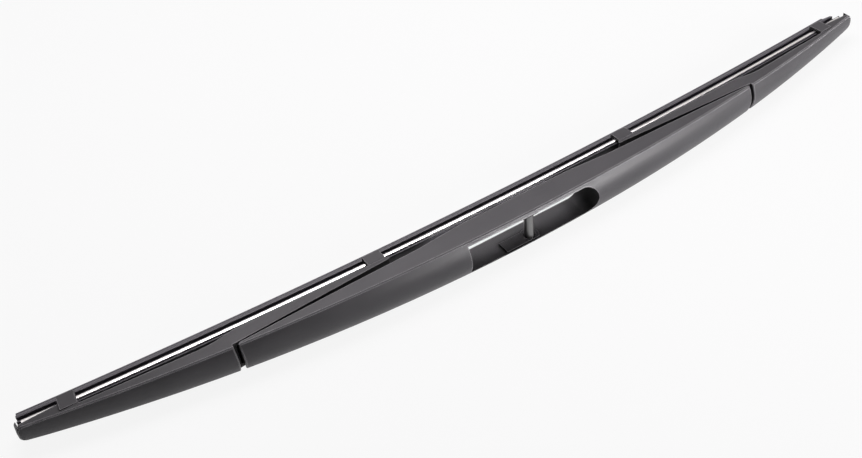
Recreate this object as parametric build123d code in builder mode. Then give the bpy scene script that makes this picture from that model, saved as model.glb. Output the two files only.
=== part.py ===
from build123d import *
from math import asin, degrees, sqrt
import os

# Rear wiper blade: a bridge, two levers, a rubber blade and its two spring strips.
# X runs along the blade, Y from the spine to the wiping lip and Z across the blade.
# The origin is the middle of the arm pin. Sizes are millimetres.

# Common form of bridge and levers
half_length = 199.2          # arm pin to lever tip
arc_span = 200.0             # distance along X over which the lip's rise is given
spine_crest = 5.6            # arm pin axis to the crest of the spine
tip_depth = 2.6              # crest to the strips' back at the lever tip
mid_half_width = 8.2
width_fall = 4.66            # half width lost from the middle to the lever tip
crown_height = 3.1           # crest above the side creases at the middle
crease_chamfer = 0.4         # along the edges of the spine

# Bridge
bridge_half_length = 121.2
bridge_wall = 1.4
bridge_end_wall = 1.4
bridge_end_depth = 3.1       # crest to skirt edge at the bridge end
skirt_deep = 8.3             # arm pin axis to the skirt edge at the middle
skirt_deep_half = 26.0       # half length of the deep skirt
skirt_run = 20.0             # length of the slope between deep and shallow
skirt_blend = 30.0
bridge_corner = 1.5

# Window in the spine over the arm pin, from wall to wall
window_square_end = 29.7     # arm pin to the square end
window_round_end = 31.0      # arm pin to the round end

# Arm pin and its seats
pin_diameter = 4.0
pin_seat = 0.9               # depth of the pin's end in each wall
seat_chamfer = 0.5           # at the mouth of each seat
boss_diameter = 8.0
boss_height = 0.7
pad_length = 12.5            # raised pad beside the lower boss
pad_depth = 6.5

# Pivot between bridge and lever
pivot_inset = 3.4            # bridge end to pivot
pivot_depth = 7.2            # crest to pivot
trunnion_diameter = 3.0
trunnion_length = 3.0
trunnion_play = 0.06         # radial
tongue_radius = 3.2
tongue_side_play = 0.4
pocket_play = 0.8            # tongue to the lever's end wall

# Lever
lever_gap = 1.8              # bridge end to lever end
skirt_gap = 0.5              # skirt to the lever's arm at the bridge end
lever_wall = 1.6
arm_end_x = 55.5
arm_end_depth = 1.4          # depth of the arm at its inner end
arm_end_half_width = 4.6
arm_end_corner = 0.8
web_inset = 12.0             # lever end to the end of the web between the arm's walls
tip_wall = 1.0
tip_cover = 0.35             # wall past the strips' back at the outer claw
tip_corner = 2.4
tip_flat = 1.0               # least flat left between the tip's corners
nub_reach = 0.2              # tip nub past the strips, towards the glass

# Glass side of the lever: its distance from the strips' back
arm_edge = 1.9               # at the arm's inner end
slot_start_edge = 3.6        # where the open slot beside the strips starts
slot_deep_edge = 6.1         # where the slot is deepest
slot_end_edge = 3.45         # at the outer claw
slot_start = 4.0             # lever end back to the start of the slot
slot_deep = 5.5              # lever end on to the deepest place
slot_start_blend = 15.0
slot_blend = 45.0
slot_corner = 1.0

# Claws
inner_claw_inset = 4.7       # arm's inner end to the middle of the claw
inner_claw_length = 7.4
outer_claw_inset = 18.95     # tip to the middle of the claw
outer_claw_length = 6.3
claw_half_width = 4.6
claw_root = 3.2              # claw above the strips, into the lever
claw_hook = 1.5              # thickness of the hook under the flange
claw_play = 0.25

# Rubber blade and strips, drawn on the lip's arc
lip_y = 23.4                 # arm pin axis to the lip at the middle
lip_rise = 7.5               # how far the lip bends towards the glass over the arc span
blade_height = 8.2           # strip back to lip
rubber_short_left = 1.3      # lever tip to the end of the rubber
rubber_short_right = 3.9
rubber_cut = 4.3             # the right end leans back by this much at the lip
strip_inset = 1.5            # end of the rubber to the end of the strips
strip_half_width = 3.2       # outer edge of each strip
strip_thickness = 1.3
rib_half_width = 0.5         # rubber between the strips
head_height = 0.8
head_half_width = 2.5
flange_height = 0.7
flange_half_width = 2.7
neck_half_width = 0.9
neck_height = 2.1
shoulder_half_width = 2.2
shoulder_height = 0.9
lip_half_width = 0.4
lip_height = 0.8

# Worked out from the sizes above
far = 2 * lip_y              # beyond every piece across the blade
spare = mid_half_width       # drawn past an outline that another one trims
crown_spare = crease_chamfer # the same for the crown, across the blade
side_radius = half_length**2 / (2 * width_fall) + width_fall / 2
strip_radius = arc_span**2 / (2 * lip_rise) + lip_rise / 2 + blade_height
strip_centre = strip_radius + lip_y - blade_height
strip_axis = Axis((0, strip_centre, 0), (0, 0, 1))
spine_rise = strip_centre - sqrt(strip_radius**2 - half_length**2) - tip_depth + spine_crest
spine_radius = half_length**2 / (2 * spine_rise) + spine_rise / 2
spine_centre = spine_radius - spine_crest
spine_axis = Axis((0, spine_centre, 0), (0, 0, 1))
crown_radius = mid_half_width**2 / (2 * crown_height) + crown_height / 2
lever_end = bridge_half_length + lever_gap
wall_inside = mid_half_width - bridge_wall
boss_face = wall_inside - boss_height
pin_half_length = wall_inside + pin_seat
rubber_left = half_length - rubber_short_left
rubber_right = half_length - rubber_short_right
strip_left = rubber_left - strip_inset
strip_right = rubber_right - strip_inset


def half_width(x):
    return mid_half_width - side_radius + sqrt(side_radius**2 - x**2)


def crest_y(x):
    return spine_centre - sqrt(spine_radius**2 - x**2)


def strip_y(x):
    return strip_centre - sqrt(strip_radius**2 - x**2)


def arc_plane(x, centre, radius):
    """Plane square to an arc at x: its own x points towards the glass and its y across."""
    rise = sqrt(radius**2 - x**2)
    return Plane((x, centre - rise, 0), x_dir=(-x, rise, 0), z_dir=(rise, x, 0))


def arc_turn(left, right, radius):
    return degrees(asin(left / radius) + asin(right / radius))


def bridge_plan(wall):
    """Plan between the two side arcs, drawn in by the wall and past the bridge's ends."""
    end_x = bridge_half_length + spare
    end, mid = half_width(end_x) - wall, mid_half_width - wall
    with BuildSketch() as plan:
        with BuildLine():
            ThreePointArc((-end_x, end), (0, mid), (end_x, end))
            Line((end_x, end), (end_x, -end))
            ThreePointArc((end_x, -end), (0, -mid), (-end_x, -end))
            Line((-end_x, -end), (-end_x, end))
        make_face()
    return plan.sketch


def arm_half_width(x):
    """Straight taper of the lever under the bridge."""
    taper = (half_width(lever_end) - arm_end_half_width) / (lever_end - arm_end_x)
    return arm_end_half_width + (x - arm_end_x) * taper


def lever_plan(wall, tip_x, corner):
    """Plan of the right lever: a straight taper under the bridge, then the side arcs to the tip."""
    start_x = arm_end_x - spare
    mid_x = (lever_end + tip_x) / 2
    tip = half_width(tip_x) - wall
    with BuildSketch() as plan:
        with BuildLine():
            Polyline((start_x, 0), (start_x, arm_half_width(start_x) - wall),
                     (lever_end, half_width(lever_end) - wall))
            ThreePointArc((lever_end, half_width(lever_end) - wall), (mid_x, half_width(mid_x) - wall),
                          (tip_x, tip))
            Line((tip_x, tip), (tip_x, 0))
            mirror(about=Plane.XZ)
        make_face()
        if corner:
            fillet(plan.vertices().group_by(Axis.X)[-1], corner)
    return plan.sketch


def crowned_form(side, plan, wall, edge_cut=0):
    """Side view, plan and crowned spine brought together in one solid."""
    radius = crown_radius - wall
    reach = mid_half_width + crown_spare
    edge = wall + radius - sqrt(radius**2 - reach**2)
    end_x = half_length + spare
    with BuildPart() as form:
        with BuildSketch(Plane.XY):
            add(side)
        extrude(amount=far, both=True)
        with BuildSketch(Plane.XZ):
            add(plan)
        extrude(amount=far, both=True, mode=Mode.INTERSECT)
        with BuildSketch(arc_plane(-end_x, spine_centre, spine_radius)):
            with BuildLine():
                Spline((edge, -reach), (wall, 0), (edge, reach))
                Polyline((edge, reach), (far, reach), (far, -reach), (edge, -reach))
            make_face()
        revolve(axis=spine_axis, revolution_arc=arc_turn(end_x, end_x, spine_radius), mode=Mode.INTERSECT)
        if edge_cut:
            chamfer(form.faces().filter_by(GeomType.REVOLUTION).edges(), edge_cut)
    return form.part


# Bridge
skirt_end = crest_y(bridge_half_length) + bridge_end_depth
pivot_x = bridge_half_length - pivot_inset
pivot_y = crest_y(pivot_x) + pivot_depth
pivot_inside = arm_half_width(pivot_x) - lever_wall
round_x = window_round_end - wall_inside

with BuildSketch() as bridge_side:
    with BuildLine():
        FilletPolyline((0, skirt_deep), (skirt_deep_half, skirt_deep),
                       (skirt_deep_half + skirt_run, skirt_end),
                       (bridge_half_length, skirt_end), (bridge_half_length, -far),
                       radius=(skirt_blend, skirt_blend, bridge_corner))
        Line((bridge_half_length, -far), (0, -far))
        mirror(about=Plane.YZ)
    make_face()

with BuildSketch() as bridge_inside:
    Rectangle(2 * (bridge_half_length - bridge_end_wall), 2 * far)

with BuildSketch() as window:
    add(bridge_plan(bridge_wall))
    with BuildLine():
        Polyline((round_x, wall_inside), (round_x, mid_half_width), (-window_square_end, mid_half_width),
                 (-window_square_end, -mid_half_width), (round_x, -mid_half_width), (round_x, -wall_inside))
        ThreePointArc((round_x, -wall_inside), (window_round_end, 0), (round_x, wall_inside))
    make_face(mode=Mode.INTERSECT)

with BuildSketch() as round_wall:
    with Locations((round_x, 0)):
        Rectangle(mid_half_width, 2 * mid_half_width, align=(Align.MIN, Align.CENTER))
        Circle(wall_inside, mode=Mode.SUBTRACT)

with BuildSketch() as hollow_plan:
    add(bridge_plan(bridge_wall))
    add(round_wall.sketch, mode=Mode.SUBTRACT)

with BuildSketch() as tongue_side:
    with BuildLine():
        Polyline((pivot_x + tongue_radius, pivot_y), (pivot_x + tongue_radius, -far),
                 (pivot_x - tongue_radius, -far), (pivot_x - tongue_radius, pivot_y))
        ThreePointArc((pivot_x - tongue_radius, pivot_y), (pivot_x, pivot_y + tongue_radius),
                      (pivot_x + tongue_radius, pivot_y))
    make_face()
    with Locations((pivot_x, pivot_y)):
        Circle(trunnion_diameter / 2 + trunnion_play, mode=Mode.SUBTRACT)

with BuildSketch() as tongue_plan:
    with Locations((pivot_x, 0)):
        Rectangle(2 * spare, 2 * (pivot_inside - tongue_side_play))

with BuildSketch() as upper_boss_side:
    Circle(boss_diameter / 2)

with BuildSketch() as lower_boss_side:
    add(upper_boss_side.sketch)
    with Locations((-pad_length / 2, 0)):
        Rectangle(pad_length, pad_depth)

with BuildSketch() as boss_plan:
    boss_thick = boss_height + bridge_wall / 2
    with Locations((0, boss_face + boss_thick / 2)):
        Rectangle(2 * (pad_length + boss_diameter), boss_thick)

bridge_shell = crowned_form(bridge_side.sketch, bridge_plan(0), 0, crease_chamfer)
bridge_hollow = crowned_form(bridge_inside.sketch, hollow_plan.sketch, bridge_wall)
tongue = crowned_form(tongue_side.sketch, tongue_plan.sketch, bridge_wall / 2)
upper_boss = crowned_form(upper_boss_side.sketch, boss_plan.sketch, bridge_wall / 2)
lower_boss = mirror(crowned_form(lower_boss_side.sketch, boss_plan.sketch, bridge_wall / 2), about=Plane.XY)

with BuildPart() as bridge:
    add(bridge_shell)
    add(bridge_hollow, mode=Mode.SUBTRACT)
    with BuildSketch(Plane.XZ):
        add(window.sketch)
    extrude(amount=far, mode=Mode.SUBTRACT)
    add(tongue)
    mirror(tongue, about=Plane.YZ)
    add(upper_boss)
    add(lower_boss)
    with BuildSketch(Plane.XZ):
        with BuildLine():
            Polyline((0, pin_half_length), (pin_diameter / 2, pin_half_length),
                     (pin_diameter / 2, boss_face + seat_chamfer),
                     (pin_diameter / 2 + seat_chamfer, boss_face), (pin_diameter / 2 + seat_chamfer, 0))
            mirror(about=Plane.XZ)
            Line((0, -pin_half_length), (0, pin_half_length))
        make_face()
    revolve(axis=Axis.Z, mode=Mode.SUBTRACT)

# Arm pin
with BuildPart() as arm_pin:
    with BuildSketch(Plane.XY):
        Circle(pin_diameter / 2)
    extrude(amount=pin_half_length, both=True)

# Right lever
inner_claw_x = arm_end_x + inner_claw_inset
outer_claw_x = half_length - outer_claw_inset
slot_start_x = lever_end - slot_start
slot_deep_x = lever_end + slot_deep
slot_end_x = outer_claw_x - outer_claw_length / 2
tip_inside = half_length - tip_wall
tip_past = half_length + spare
edge_gap = head_height + claw_play
channel_depth = strip_thickness + flange_height + claw_play
channel_start = outer_claw_x - outer_claw_length
channel_half_width = strip_half_width + claw_play
nub_y = strip_y(half_length) + strip_thickness + nub_reach
arm_end_glass = strip_y(arm_end_x) - arm_edge
arm_end_spine = arm_end_glass - arm_end_depth
arm_turn = skirt_end + skirt_gap
arm_slope = (arm_end_spine - arm_turn) / (lever_end - arm_end_x)
web_start = arm_end_x + lever_wall
web_end = lever_end - web_inset
pocket_end = pivot_x + tongue_radius + pocket_play

with BuildSketch() as lever_side:
    with BuildLine():
        FilletPolyline((arm_end_x, arm_end_spine), (arm_end_x, arm_end_glass),
                       (slot_start_x, strip_y(slot_start_x) - slot_start_edge),
                       (slot_deep_x, strip_y(slot_deep_x) - slot_deep_edge),
                       (slot_end_x, strip_y(slot_end_x) - slot_end_edge),
                       (slot_end_x, strip_y(slot_end_x) - edge_gap),
                       radius=(arm_end_corner, slot_start_blend, slot_blend, slot_corner))
        Polyline((slot_end_x, strip_y(slot_end_x) - edge_gap),
                 (outer_claw_x, strip_y(outer_claw_x) + tip_cover),
                 (tip_inside, strip_y(tip_inside) - edge_gap / 2), (tip_inside, nub_y),
                 (tip_past, nub_y), (tip_past, -far), (lever_end, -far), (lever_end, arm_turn),
                 (arm_end_x, arm_end_spine))
    make_face()

with BuildSketch() as lever_inside:
    with BuildLine():
        Polyline((web_start, far), (web_start, arm_end_spine - lever_wall * arm_slope + lever_wall),
                 (web_end, arm_turn + (lever_end - web_end) * arm_slope + lever_wall),
                 (web_end, -far), (pocket_end, -far), (pocket_end, far), close=True)
    make_face()
    with Locations((lever_end + lever_wall, 0)):
        Rectangle(tip_inside - lever_end - lever_wall, 2 * far, align=(Align.MIN, Align.CENTER))

with BuildSketch() as claw:
    with Locations(((channel_depth + claw_hook - claw_root) / 2, 0)):
        Rectangle(channel_depth + claw_hook + claw_root, 2 * claw_half_width)
    with Locations(((channel_depth - edge_gap) / 2, 0)):
        Rectangle(channel_depth + edge_gap, 2 * channel_half_width, mode=Mode.SUBTRACT)
    with Locations((channel_depth + claw_hook / 2, 0)):
        Rectangle(claw_hook, 2 * (neck_half_width + 2 * claw_play), mode=Mode.SUBTRACT)

tip_round = min(tip_corner, half_width(half_length) - tip_flat / 2)
lever_shell = crowned_form(lever_side.sketch, lever_plan(0, half_length, tip_round), 0, crease_chamfer)
lever_hollow = crowned_form(lever_inside.sketch, lever_plan(lever_wall, tip_past, 0), lever_wall)

with BuildPart() as right_lever:
    add(lever_shell)
    add(lever_hollow, mode=Mode.SUBTRACT)
    with BuildSketch(Plane.XY):
        with BuildLine():
            Polyline((channel_start, strip_y(channel_start) - edge_gap),
                     (tip_inside, strip_y(tip_inside) - edge_gap), (tip_inside, far), (channel_start, far),
                     close=True)
        make_face()
    extrude(amount=channel_half_width, both=True, mode=Mode.SUBTRACT)
    for claw_x, claw_length in ((inner_claw_x, inner_claw_length), (outer_claw_x, outer_claw_length)):
        with BuildSketch(arc_plane(claw_x, strip_centre, strip_radius)):
            add(claw.sketch)
        extrude(amount=claw_length / 2, both=True)
    for face in (1, -1):
        with BuildSketch(Plane.XY.offset(face * (pivot_inside - trunnion_length))):
            with Locations((pivot_x, pivot_y)):
                Circle(trunnion_diameter / 2)
        extrude(amount=face * (trunnion_length + lever_wall / 2))

# Left lever
with BuildPart() as left_lever:
    mirror(right_lever.part, about=Plane.YZ)

# Rubber blade
flange_end = strip_thickness + flange_height
neck_end = flange_end + neck_height

with BuildPart() as rubber_blade:
    with BuildSketch(arc_plane(-rubber_left, strip_centre, strip_radius)):
        with BuildLine():
            Polyline((-head_height, 0), (-head_height, head_half_width), (0, head_half_width),
                     (0, rib_half_width), (strip_thickness, rib_half_width),
                     (strip_thickness, flange_half_width), (flange_end, flange_half_width),
                     (flange_end, neck_half_width), (neck_end, neck_half_width),
                     (neck_end, shoulder_half_width), (neck_end + shoulder_height, shoulder_half_width),
                     (blade_height - lip_height, lip_half_width), (blade_height, lip_half_width),
                     (blade_height, 0))
            mirror(about=Plane.XZ)
        make_face()
    revolve(axis=strip_axis, revolution_arc=arc_turn(rubber_left, rubber_right, strip_radius))
    with BuildSketch(Plane.XY):
        with BuildLine():
            cut_start = strip_y(rubber_right) + flange_end
            cut_end = cut_start + blade_height
            cut_lean = rubber_cut * blade_height / (blade_height - flange_end)
            Polyline((rubber_right, cut_start), (rubber_right - cut_lean, cut_end),
                     (rubber_right + spare, cut_end), (rubber_right + spare, cut_start), close=True)
        make_face()
    extrude(amount=mid_half_width, both=True, mode=Mode.SUBTRACT)


# Spring strips
def spring_strip(edge):
    """One strip, its outer edge on the given side of the rubber's rib."""
    with BuildPart() as strip:
        with BuildSketch(arc_plane(-strip_left, strip_centre, strip_radius)):
            with Locations((strip_thickness / 2, edge * (strip_half_width + rib_half_width) / 2)):
                Rectangle(strip_thickness, strip_half_width - rib_half_width)
        revolve(axis=strip_axis, revolution_arc=arc_turn(strip_left, strip_right, strip_radius))
    return strip


upper_strip = spring_strip(1)
lower_strip = spring_strip(-1)

os.makedirs("parts", exist_ok=True)
for piece, name in ((bridge, "bridge"), (arm_pin, "arm_pin"), (left_lever, "left_lever"),
                    (right_lever, "right_lever"), (rubber_blade, "rubber_blade"),
                    (upper_strip, "upper_strip"), (lower_strip, "lower_strip")):
    piece.part.label = name
    export_step(piece.part, f"parts/{name}.step")
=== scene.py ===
from math import asin, cos, radians, sin

import bmesh
import bpy
from mathutils import Matrix, Vector


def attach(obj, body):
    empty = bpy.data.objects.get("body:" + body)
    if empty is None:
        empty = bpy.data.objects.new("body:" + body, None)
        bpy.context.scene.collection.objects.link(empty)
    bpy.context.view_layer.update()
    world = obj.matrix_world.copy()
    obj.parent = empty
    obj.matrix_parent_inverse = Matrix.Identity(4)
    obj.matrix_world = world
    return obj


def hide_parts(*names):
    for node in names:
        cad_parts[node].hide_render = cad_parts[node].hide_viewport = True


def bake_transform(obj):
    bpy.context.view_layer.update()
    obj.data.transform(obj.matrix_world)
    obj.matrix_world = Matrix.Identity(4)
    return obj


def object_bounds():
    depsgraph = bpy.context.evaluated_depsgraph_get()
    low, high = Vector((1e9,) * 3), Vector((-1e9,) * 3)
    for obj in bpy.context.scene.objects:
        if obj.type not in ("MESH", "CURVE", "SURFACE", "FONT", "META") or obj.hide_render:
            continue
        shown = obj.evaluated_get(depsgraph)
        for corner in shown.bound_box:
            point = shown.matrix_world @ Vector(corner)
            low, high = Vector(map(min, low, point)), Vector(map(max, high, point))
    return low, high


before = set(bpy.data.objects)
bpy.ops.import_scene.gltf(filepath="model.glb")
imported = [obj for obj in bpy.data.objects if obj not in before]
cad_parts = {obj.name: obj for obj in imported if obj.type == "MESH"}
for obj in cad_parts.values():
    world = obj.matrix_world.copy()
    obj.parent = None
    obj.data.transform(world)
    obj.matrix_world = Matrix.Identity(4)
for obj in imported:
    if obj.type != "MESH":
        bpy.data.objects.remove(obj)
cad_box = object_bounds()
scene = bpy.context.scene
scene.view_settings.view_transform = "Standard"

MM = 0.001

# Camera, found by fitting the blade's outline in the photograph
CAMERA_PLACE = Vector((-170.63, -255.16, 278.29)) * MM
CAMERA_RIGHT = Vector((0.8438, -0.5267, -0.1028))
CAMERA_UP = Vector((0.4207, 0.5304, 0.7360))
CAMERA_LENS = 44.09
SENSOR_WIDTH = 36.0

# Rubber blade and strips, in millimetres: outlines are (depth towards the glass, across)
STRIP_RADIUS = 2678.617
STRIP_CENTRE = 2693.817
RUBBER_OUTLINE = [(-0.8, 2.5), (0.0, 2.5), (0.0, 0.5), (1.3, 0.5), (1.3, 2.7), (2.0, 2.7),
                  (2.0, 0.9), (4.1, 0.9), (4.1, 2.2), (5.0, 2.2), (7.4, 0.4), (8.2, 0.4)]
STRIP_OUTLINE = [(0.0, 0.5), (0.0, 3.2), (1.3, 3.2), (1.3, 0.5)]
RUBBER_ROUNDING = 0.15
STRIP_ROUNDING = 0.12
RUBBER_ENDS = {"left": 197.9, "right": 195.3}
STRIP_INSET = 1.5
RUBBER_CUT = 4.3
CUT_DEPTHS = (2.0, 8.2)
STATIONS = 110
BLADE_SHARP = 50

# Curved wall round the bridge's tongue, in millimetres and degrees. Its angles start from the
# line that runs from the pivot to the blade's end and open towards the glass.
PIVOT = (117.8, 10.4628)
APRON_RADII = (3.55, 4.15)
APRON_FROM, APRON_TO = -5, 75
APRON_STEPS = 16
APRON_HALF_WIDTH = 5.0
APRON_SHARP = 40

# Materials: the part of a noise's range that is used, the painted highlight on edges and the
# painted shade in hollows
NOISE_SPAN = (0.3, 0.7)
NODE_SAMPLES = 6
EDGE_SPAN = (1.0, 0.9)
EDGE_STOPS = ((0.05, (0, 0, 0)), (0.25, (1, 1, 1)), (0.6, (0.4, 0.4, 0.4)))
EDGE_BREAKS = (0.75, 1.0)
RECESS_SHADE_SPAN = (0.98, 0.78)

# Floor, in metres: its white, and the share of it in what the camera and reflections see
FLOOR_SIZE = 30
FLOOR_WHITE = 0.94
FLOOR_SEEN = 0.94
FLOOR_MIRRORED = 0.94

# Room: colour, where it is lightest, its levels, and what the camera sees on top of them
ROOM_COLOUR = (0.98, 0.97, 1.0, 1)
ROOM_LIGHTEST = (0.2, 0.5, 0.84)
ROOM_LEVELS = (0.01, 0.10)
ROOM_SEEN = 0.9

# Panels: name, place, aim and size in metres, power in watts, colour, spread in degrees
PANELS = [
    ("overhead", (0.10, 0.22, 0.60), (0, 0, 0), (0.6, 0.2), 3.8, (1.0, 0.97, 1.0), 180),
    ("overhead_left", (-0.15, -0.05, 0.55), (0, 0, 0), (0.3, 0.12), 0.1, (1.0, 0.98, 1.0), 180),
    ("behind", (0.15, 0.32, 0.52), (0, 0, 0), (0.5, 0.2), 1.5, (1.0, 0.96, 1.0), 180),
    ("behind_left", (-0.22, 0.44, 0.43), (-0.1, 0, 0), (0.3, 0.3), 0.15, (1.0, 0.98, 0.96), 180),
    ("behind_right", (0.60, 0.33, 0.31), (0, 0, 0), (0.3, 0.3), 0.18, (1.0, 0.98, 0.96), 180),
    ("right", (0.30, -0.36, 0.10), (0.15, 0, 0), (0.4, 0.2), 0.6, (1.0, 0.985, 1.0), 46),
]


def add_camera():
    data = bpy.data.cameras.new("camera")
    data.sensor_fit = "HORIZONTAL"
    data.sensor_width = SENSOR_WIDTH
    data.lens = CAMERA_LENS
    camera = bpy.data.objects.new("camera", data)
    right = CAMERA_RIGHT.normalized()
    back = right.cross(CAMERA_UP).normalized()
    up = back.cross(right)
    turn = Matrix((right, up, back)).transposed().to_4x4()
    camera.matrix_world = Matrix.Translation(CAMERA_PLACE) @ turn
    scene.collection.objects.link(camera)
    scene.camera = camera


class Tree:
    """The nodes of a material or a world, with short ways to add and join them."""

    def __init__(self, owner):
        owner.use_nodes = True
        self.nodes = owner.node_tree.nodes
        self.links = owner.node_tree.links

    def add(self, kind, **inputs):
        node = self.nodes.new(kind)
        for key, value in inputs.items():
            self.feed(node.inputs[key.replace("_", " ")], value)
        return node

    def feed(self, socket, value):
        if isinstance(value, bpy.types.NodeSocket):
            self.links.new(value, socket)
        else:
            socket.default_value = value

    def carry(self, value, start, end, low=0.0, high=1.0):
        """A value carried from one span to another and held at its ends."""
        node = self.add("ShaderNodeMapRange", Value=value, From_Min=start, From_Max=end,
                        To_Min=low, To_Max=high)
        return node.outputs["Result"]

    def sum(self, operation, *values):
        node = self.add("ShaderNodeMath")
        node.operation = operation
        for socket, value in zip(node.inputs, values):
            self.feed(socket, value)
        return node.outputs["Value"]

    def dot(self, first, second):
        node = self.add("ShaderNodeVectorMath")
        node.operation = "DOT_PRODUCT"
        self.feed(node.inputs[0], first)
        self.feed(node.inputs[1], second)
        return node.outputs["Value"]


class Shader(Tree):
    """A material made of nodes, with the patterns that its surfaces need."""

    def __init__(self, name):
        self.material = bpy.data.materials.new(name)
        super().__init__(self.material)
        self.bsdf = self.nodes["Principled BSDF"]

    def set(self, **inputs):
        for key, value in inputs.items():
            self.feed(self.bsdf.inputs[key.replace("_", " ")], value)

    def noise(self, scale, detail, stretch=(1, 1, 1)):
        place = self.add("ShaderNodeTexCoord").outputs["Object"]
        mapped = self.add("ShaderNodeMapping", Vector=place, Scale=stretch).outputs["Vector"]
        noise = self.add("ShaderNodeTexNoise", Vector=mapped, Scale=scale, Detail=detail)
        return noise.outputs["Fac"]

    def ramp(self, fac, *stops):
        node = self.add("ShaderNodeValToRGB", Fac=fac)
        elements = node.color_ramp.elements
        for i, (place, colour) in enumerate(stops):
            stop = elements[i] if i < 2 else elements.new(place)
            stop.position = place
            stop.color = (*colour, 1)
        return node.outputs["Color"]

    def colours(self, noise, dark, pale):
        return self.ramp(noise, *zip(NOISE_SPAN, (dark, pale)))

    def between(self, noise, low, high):
        return self.carry(noise, *NOISE_SPAN, low, high)

    def bevel(self, radius):
        node = self.add("ShaderNodeBevel", Radius=radius)
        node.samples = NODE_SAMPLES
        return node.outputs["Normal"]

    def bump(self, height, strength, depth, rounding=0.0):
        node = self.add("ShaderNodeBump", Height=height, Strength=strength, Distance=depth)
        if rounding:
            self.feed(node.inputs["Normal"], self.bevel(rounding))
        self.set(Normal=node.outputs["Normal"])

    def edges(self, width, broken):
        """Painted highlight along edges: most along blunt ones, less along sharp ones, with
        breaks.
        """
        normal = self.add("ShaderNodeNewGeometry").outputs["Normal"]
        bent = self.carry(self.dot(self.bevel(width), normal), *EDGE_SPAN)
        pale = self.ramp(bent, *EDGE_STOPS)
        return self.sum("MULTIPLY", pale, self.between(broken, *EDGE_BREAKS))

    def inside(self, reach):
        """Painted shade mask: one on faces that look at others of the same piece, such as a
        moulding's hollow.
        """
        node = self.add("ShaderNodeAmbientOcclusion", Distance=reach)
        node.samples = NODE_SAMPLES
        node.only_local = True
        return self.carry(node.outputs["AO"], *RECESS_SHADE_SPAN)

    def mix(self, fac, first, second, kind="Color"):
        """Two colours mixed, or two numbers where kind is Float."""
        node = self.add("ShaderNodeMix")
        node.data_type = "RGBA" if kind == "Color" else "FLOAT"
        sockets = {socket.identifier: socket for socket in (*node.inputs, *node.outputs)}
        self.feed(sockets["Factor_Float"], fac)
        self.feed(sockets["A_" + kind], first)
        self.feed(sockets["B_" + kind], second)
        return sockets["Result_" + kind]


def plastic():
    """Black moulding with a fine grain, a pale painted highlight along its edges, and painted
    shade that darkens its dull hollows.
    """
    shader = Shader("frame_plastic")
    grain = shader.noise(scale=2200, detail=3)
    patches = shader.noise(scale=45, detail=4)
    # Painted highlight: edges get a pale colour that stands in for the light they catch
    edge_highlight = shader.edges(width=0.6 * MM, broken=shader.noise(scale=160, detail=3))
    # Painted shade: faces in the moulding's hollows are darkened where they look at other faces
    inside = shader.inside(reach=14 * MM)
    colour = shader.colours(patches, dark=(0.032, 0.0305, 0.033), pale=(0.040, 0.038, 0.041))
    # Painted highlight mixed into the colour along edges
    colour = shader.mix(edge_highlight, colour, second=(0.27, 0.264, 0.27, 1))
    # Painted shade mixed into the colour in hollows
    colour = shader.mix(inside, colour, second=(0.008, 0.0076, 0.0082, 1))
    roughness = shader.between(grain, low=0.36, high=0.47)
    roughness = shader.mix(edge_highlight, roughness, second=0.30, kind="Float")
    roughness = shader.mix(inside, roughness, second=0.75, kind="Float")
    shader.set(Base_Color=colour, Roughness=roughness, Specular_IOR_Level=0.3)
    shader.bump(grain, strength=0.24, depth=0.05 * MM, rounding=0.25 * MM)
    return shader.material


def pin_steel():
    """Dark steel with lines along the pin."""
    shader = Shader("pin_steel")
    lines = shader.noise(scale=1.0, detail=4, stretch=(2600, 2600, 90))
    colour = shader.colours(lines, dark=(0.17, 0.17, 0.172), pale=(0.25, 0.247, 0.245))
    roughness = shader.between(lines, low=0.34, high=0.46)
    shader.set(Base_Color=colour, Metallic=1.0, Roughness=roughness)
    shader.bump(lines, strength=0.10, depth=0.03 * MM, rounding=0.3 * MM)
    return shader.material


def strip_steel():
    """Bright steel with lines along the blade."""
    shader = Shader("strip_steel")
    lines = shader.noise(scale=1.0, detail=4, stretch=(60, 2400, 2400))
    colour = shader.colours(lines, dark=(0.86, 0.84, 0.81), pale=(0.95, 0.94, 0.92))
    roughness = shader.between(lines, low=0.26, high=0.38)
    shader.set(Base_Color=colour, Metallic=1.0, Roughness=roughness)
    shader.bump(lines, strength=0.08, depth=0.03 * MM)
    return shader.material


def rubber():
    """Matt rubber with lines along the blade and a fine grain."""
    shader = Shader("rubber")
    lines = shader.noise(scale=1.0, detail=3, stretch=(120, 1800, 1800))
    grain = shader.noise(scale=3000, detail=2)
    colour = shader.colours(lines, dark=(0.048, 0.044, 0.052), pale=(0.061, 0.057, 0.066))
    shader.set(Base_Color=colour, Roughness=shader.between(lines, low=0.44, high=0.56))
    shader.bump(grain, strength=0.14, depth=0.04 * MM)
    return shader.material


def dress(node, material):
    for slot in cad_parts[node].material_slots:
        slot.material = material


def rounded(outline, radius, steps=3, most=0.45):
    """A closed outline with its corners rounded, each by at most a share of its sides."""
    points = [Vector(point) for point in outline]
    smooth = []
    for i, here in enumerate(points):
        back, on = points[i - 1] - here, points[(i + 1) % len(points)] - here
        start = here + back.normalized() * min(radius, most * back.length)
        end = here + on.normalized() * min(radius, most * on.length)
        for j in range(steps + 1):
            t = j / steps
            smooth.append(start * (1 - t) ** 2 + here * 2 * t * (1 - t) + end * t ** 2)
    return smooth


def rubber_end(depth, end):
    """Where the rubber stops: its right end leans back towards the lip."""
    if end == "right" and depth > CUT_DEPTHS[0]:
        lean = (depth - CUT_DEPTHS[0]) / (CUT_DEPTHS[1] - CUT_DEPTHS[0])
        return RUBBER_ENDS[end] - RUBBER_CUT * lean
    return RUBBER_ENDS[end]


def strip_end(depth, end):
    """Where a strip stops, at any depth."""
    return RUBBER_ENDS[end] - STRIP_INSET


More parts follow.
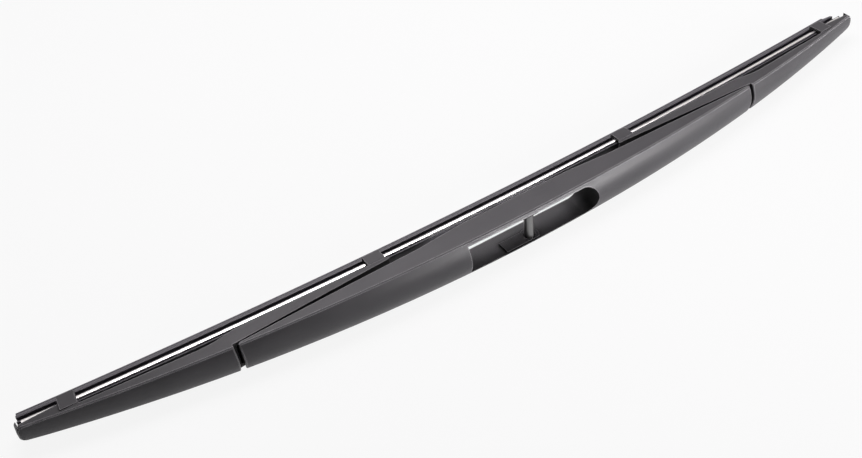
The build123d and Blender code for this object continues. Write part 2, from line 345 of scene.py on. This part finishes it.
def skin(name, rings, caps, sharp, material):
    """A piece from rings of points in millimetres, each joined to the next, some closed."""
    mesh = bmesh.new()
    rings = [[mesh.verts.new(Vector(point) * MM) for point in ring] for ring in rings]
    for first, second in zip(rings, rings[1:]):
        for j in range(len(first)):
            mesh.faces.new((first[j - 1], first[j], second[j], second[j - 1]))
    for cap in caps:
        mesh.faces.new(rings[cap])
    bmesh.ops.recalc_face_normals(mesh, faces=mesh.faces)
    data = bpy.data.meshes.new(name)
    mesh.to_mesh(data)
    mesh.free()
    data.shade_smooth()
    data.set_sharp_from_angle(angle=radians(sharp))
    data.materials.append(material)
    piece = bpy.data.objects.new(name, data)
    scene.collection.objects.link(piece)
    return piece


def sweep(name, outline, end, end_at, node, material):
    """Half of a piece, carried along the strips' arc from the blade's middle to one end."""
    side = 1 if end == "right" else -1
    rings = []
    for i in range(STATIONS + 1):
        ring = []
        for depth, across in outline:
            turn = side * asin(end_at(depth, end) / STRIP_RADIUS) * i / STATIONS
            radius = STRIP_RADIUS - depth
            ring.append((radius * sin(turn), STRIP_CENTRE - radius * cos(turn), across))
        rings.append(ring)
    piece = skin(name, rings, (-1,), BLADE_SHARP, material)
    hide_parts(node)
    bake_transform(piece)


def add_blade():
    """Rubber and strips in halves, each swept from the blade's middle to one end."""
    mirrored = [(depth, -across) for depth, across in reversed(RUBBER_OUTLINE)]
    whole = rounded(RUBBER_OUTLINE + mirrored, RUBBER_ROUNDING)
    black = rubber()
    bright = strip_steel()
    for end in ("left", "right"):
        sweep("rubber_" + end, whole, end, rubber_end, "rubber_blade", black)
        for name, face in (("upper_strip", 1), ("lower_strip", -1)):
            outline = [(depth, face * across) for depth, across in STRIP_OUTLINE]
            outline = rounded(outline, STRIP_ROUNDING)
            sweep(name + "_" + end, outline, end, strip_end, name, bright)


def add_aprons(material):
    """Curved wall in each lever, round the bridge's tongue, that closes the gap behind it."""
    inner, outer = APRON_RADII
    corners = ((inner, 1), (outer, 1), (outer, -1), (inner, -1))
    for end, side in (("left", -1), ("right", 1)):
        rings = []
        for i in range(APRON_STEPS + 1):
            turn = radians(APRON_FROM + (APRON_TO - APRON_FROM) * i / APRON_STEPS)
            rings.append([(side * (PIVOT[0] + radius * cos(turn)),
                           PIVOT[1] + radius * sin(turn),
                           across * APRON_HALF_WIDTH) for radius, across in corners])
        piece = skin(end + "_apron", rings, (0, -1), APRON_SHARP, material)
        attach(piece, end + "_lever")


def add_floor():
    """White floor: mostly plain white where it is seen, so that only a faint shadow shows."""
    bpy.ops.mesh.primitive_plane_add(size=FLOOR_SIZE, location=(0, 0, cad_box[0][2]))
    floor = bpy.context.object
    floor.name = "floor"
    shader = Shader("floor")
    mottle = shader.noise(scale=3, detail=2)
    colour = shader.colours(mottle, dark=(0.88, 0.885, 0.88), pale=(0.90, 0.90, 0.90))
    roughness = shader.between(mottle, low=0.85, high=0.95)
    shader.set(Base_Color=colour, Roughness=roughness, Specular_IOR_Level=0.1)
    shader.bump(mottle, strength=0.02, depth=1 * MM)
    white = shader.add("ShaderNodeEmission", Strength=FLOOR_WHITE)
    path = shader.add("ShaderNodeLightPath").outputs
    mirrored = shader.sum("MULTIPLY", path["Is Glossy Ray"], FLOOR_MIRRORED)
    share = shader.sum("MULTIPLY_ADD", path["Is Camera Ray"], FLOOR_SEEN, mirrored)
    mix = shader.add("ShaderNodeMixShader", Fac=share)
    shader.feed(mix.inputs[1], shader.bsdf.outputs["BSDF"])
    shader.feed(mix.inputs[2], white.outputs["Emission"])
    shader.feed(shader.nodes["Material Output"].inputs["Surface"], mix.outputs["Shader"])
    floor.data.materials.append(shader.material)


def add_panel(name, place, aim, size, power, colour, spread):
    """Soft light aimed at a place on the blade."""
    data = bpy.data.lights.new(name, "AREA")
    data.shape = "RECTANGLE"
    data.size, data.size_y = size
    data.energy = power
    data.color = colour
    data.spread = radians(spread)
    light = bpy.data.objects.new(name, data)
    light.location = place
    light.rotation_euler = (Vector(aim) - Vector(place)).to_track_quat("-Z", "Y").to_euler()
    light.visible_camera = False
    scene.collection.objects.link(light)


def add_lights():
    """Dim room, a little lighter above and behind, with soft panels near the blade."""
    world = bpy.data.worlds.new("studio")
    tree = Tree(world)
    towards = tree.add("ShaderNodeTexCoord").outputs["Generated"]
    level = tree.carry(tree.dot(towards, ROOM_LIGHTEST), 0.0, 1.0, *ROOM_LEVELS)
    seen = tree.add("ShaderNodeLightPath").outputs["Is Camera Ray"]
    background = tree.nodes["Background"]
    tree.feed(background.inputs["Color"], ROOM_COLOUR)
    tree.feed(background.inputs["Strength"], tree.sum("MULTIPLY_ADD", seen, ROOM_SEEN, level))
    scene.world = world
    for panel in PANELS:
        add_panel(*panel)


add_camera()
black_plastic = plastic()
for node in ("bridge", "left_lever", "right_lever"):
    dress(node, black_plastic)
dress("arm_pin", pin_steel())
add_blade()
add_aprons(black_plastic)
add_floor()
add_lights()
